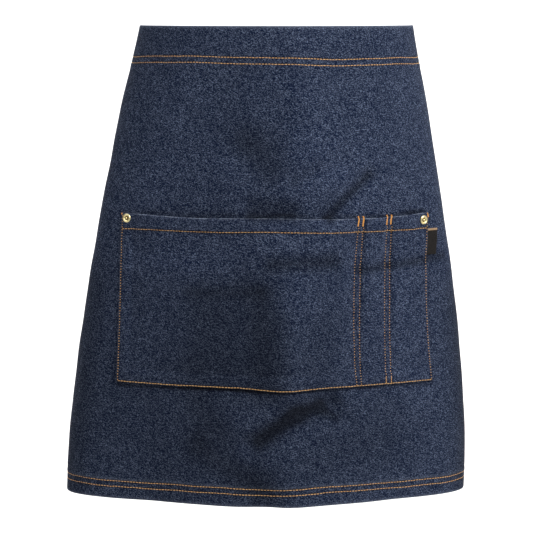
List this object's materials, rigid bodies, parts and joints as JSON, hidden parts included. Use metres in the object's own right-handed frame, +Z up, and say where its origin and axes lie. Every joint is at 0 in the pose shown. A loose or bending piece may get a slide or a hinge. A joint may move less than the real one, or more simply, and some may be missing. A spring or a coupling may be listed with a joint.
{
  "type": "waist apron",
  "caption": "Flared raw denim waist apron in its worn form, with a riveted patch pocket divided into pen slots, turned twin-stitched hems and ties knotted behind.",
  "frame": {"origin": "middle of the waist loop, at half the depth of the waistband", "axes": "+Z up, the apron's front faces -Y, +X to the viewer's right as seen from the front"},
  "size_m": [0.4321, 0.2198, 0.5],
  "materials": {
    "denim": "raw indigo denim, dark blue-grey with pale speckle; its back, seen behind the panel, is paler and matt",
    "tie_denim": "raw indigo denim strap, matt",
    "rivet_brass": "polished brass",
    "label_cloth": "dense dark woven tape, bare"
  },
  "bodies": {
    "root": {"front_panel": "denim", "waistband": "denim", "bottom_hem": "denim", "side_hem_left": "denim", "side_hem_right": "denim", "pocket": "denim", "rivet_left": "rivet_brass", "rivet_right": "rivet_brass", "label_tab": "label_cloth", "tie_left": "tie_denim", "tie_right": "tie_denim", "tie_knot": "tie_denim"}
  },
  "joints": []
}
